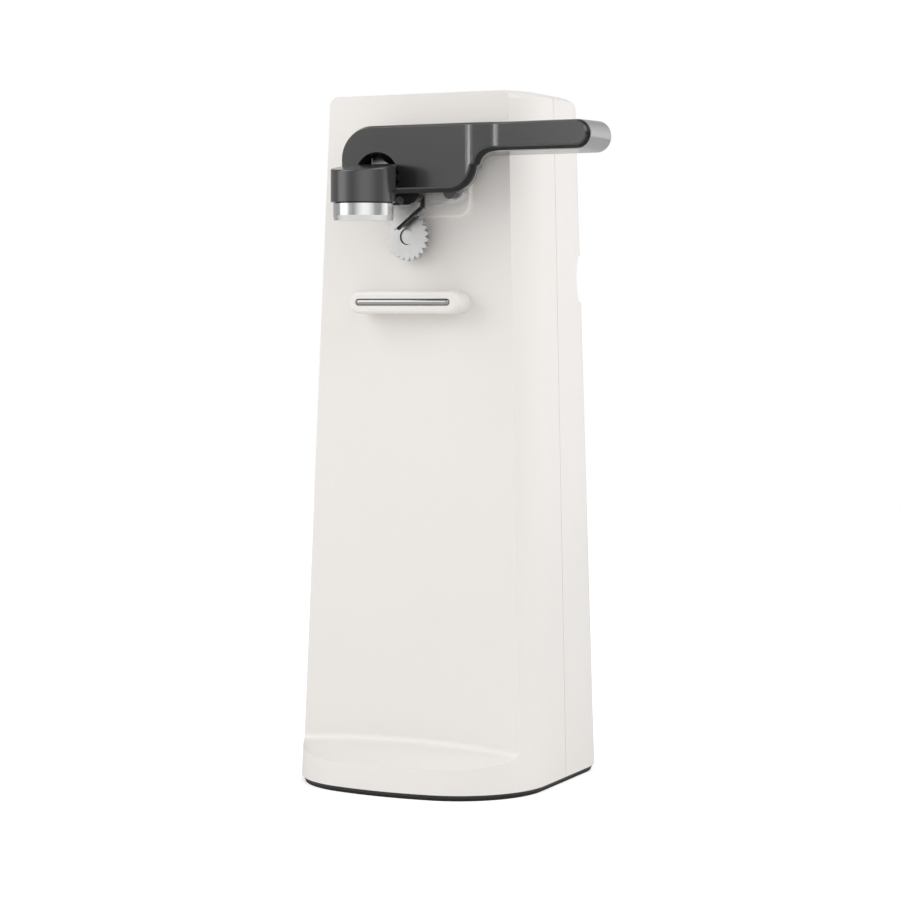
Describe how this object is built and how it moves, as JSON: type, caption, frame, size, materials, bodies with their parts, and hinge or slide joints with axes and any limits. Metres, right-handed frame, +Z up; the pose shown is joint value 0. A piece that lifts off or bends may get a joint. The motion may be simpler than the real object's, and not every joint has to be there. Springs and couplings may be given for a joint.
{
  "type": "electric can opener",
  "caption": "Upright electric can opener: tapered white body, dark cutting lever with magnet, toothed feed wheel, can rest and rear knife sharpener.",
  "frame": {"origin": "middle of the footprint, on the surface that the opener stands on", "axes": "+Z up, the front with the lever and feed wheel faces -Y, +X to the right seen from the front"},
  "size_m": [0.1177, 0.1171, 0.235],
  "materials": {
    "warm_white": "smooth moulded gloss, warm white",
    "charcoal": "satin moulded charcoal",
    "black_trim": "glossy moulded black",
    "dark_base": "fine texture, near black",
    "foot_rubber": "moulded rubber",
    "bright_metal": "bright nickel plate",
    "handle_metal": "satin plated",
    "rod_steel": "drawn and polished",
    "blade_steel": "ground and hardened",
    "clip_steel": "pressed spring steel",
    "cup_charcoal": "satin moulded charcoal",
    "plate_steel": "zinc plated sheet",
    "hard_steel": "ground steel",
    "screw_steel": "zinc plated",
    "bush_bronze": "sintered bronze",
    "gear_nylon": "natural nylon",
    "lamination": "stacked laminations",
    "copper_wire": "enamelled copper winding",
    "bobbin_plastic": "glass filled nylon",
    "rotor_metal": "cast squirrel cage",
    "fan_plastic": "moulded",
    "abrasive": "bonded abrasive",
    "switch_plastic": "phenolic",
    "button_red": "acetal"
  },
  "bodies": {
    "body": {"front_shell": "warm_white", "rear_shell": "warm_white", "base_cover": "dark_base", "foot_ring": "foot_rubber", "cord_gland": "foot_rubber", "rest_rod": "rod_steel", "chassis_plate": "plate_steel", "gear_plate": "plate_steel", "gearbox_posts": "plate_steel", "gearbox_screws": "screw_steel", "spindle_front_bush": "bush_bronze", "spindle_rear_bush": "bush_bronze", "lever_front_bush": "bush_bronze", "lever_rear_bush": "bush_bronze", "idler_pin_one": "hard_steel", "idler_pin_two": "hard_steel", "stator_core": "lamination", "coil_bobbin": "bobbin_plastic", "coil_winding": "copper_wire", "motor_spacers": "plate_steel", "motor_bolts": "screw_steel", "motor_bracket": "plate_steel", "motor_front_bush": "bush_bronze", "motor_rear_bush": "bush_bronze", "lever_spring": "hard_steel", "switch_case": "switch_plastic", "switch_screws": "screw_steel", "shell_screws": "screw_steel", "base_screws": "screw_steel"},
    "rotor": {"motor_shaft": "hard_steel", "rotor_core": "rotor_metal", "cooling_fan": "fan_plastic", "grinding_wheel": "abrasive", "grinding_nut": "screw_steel", "motor_pinion": "bush_bronze"},
    "idler_one": {"idler_gear_one": "gear_nylon"},
    "idler_two": {"idler_gear_two": "gear_nylon"},
    "drive_spindle": {"spindle": "hard_steel", "spindle_gear": "gear_nylon", "spindle_clip": "screw_steel", "feed_wheel": "hard_steel"},
    "lever": {"lever_rim": "black_trim", "lever_face": "charcoal", "lever_back": "handle_metal", "notch_liner": "black_trim", "blade_spacer": "black_trim", "lever_shaft": "hard_steel", "lever_cam": "gear_nylon", "lever_clip": "screw_steel", "lever_screws": "screw_steel", "cutter_blade": "blade_steel", "blade_holder": "charcoal", "blade_screw": "screw_steel", "rim_guide": "blade_steel", "guide_peg": "charcoal", "hinge_pin": "hard_steel"},
    "magnet_arm": {"magnet_cup": "cup_charcoal", "magnet": "bright_metal", "arm_clip": "clip_steel"},
    "switch_plunger": {"switch_button": "button_red"}
  },
  "joints": [
    {"name": "rotor_spin", "type": "hinge", "parent": "body", "child": "rotor", "pos_m": [0, 0, 0.155], "axis": [0, 1, 0], "continuous": true},
    {"name": "idler_one_spin", "type": "hinge", "parent": "body", "child": "idler_one", "pos_m": [0.01571, 0, 0.15393], "axis": [0, 1, 0], "continuous": true},
    {"name": "idler_two_spin", "type": "hinge", "parent": "body", "child": "idler_two", "pos_m": [0.019, 0, 0.17204], "axis": [0, 1, 0], "continuous": true},
    {"name": "spindle_spin", "type": "hinge", "parent": "body", "child": "drive_spindle", "pos_m": [0, 0, 0.1867], "axis": [0, 1, 0], "continuous": true},
    {"name": "lever_swing", "type": "hinge", "parent": "body", "child": "lever", "pos_m": [-0.0085, 0, 0.212], "axis": [0, -1, 0], "range_deg": [0, 32]},
    {"name": "magnet_tilt", "type": "hinge", "parent": "lever", "child": "magnet_arm", "pos_m": [-0.00425, -0.037, 0.2065], "axis": [-1, 0, 0], "range_deg": [0, 15]},
    {"name": "switch_travel", "type": "slide", "parent": "body", "child": "switch_plunger", "axis": [-1, 0, 0], "range_m": [0, 0.0012]}
  ],
  "couplings": [
    {"joint": "idler_one_spin", "follows": "rotor_spin", "ratio": -0.25},
    {"joint": "idler_two_spin", "follows": "rotor_spin", "ratio": 0.069444},
    {"joint": "spindle_spin", "follows": "rotor_spin", "ratio": -0.018275},
    {"joint": "switch_travel", "follows": "lever_swing", "m_per_rad": 0.00198}
  ]
}
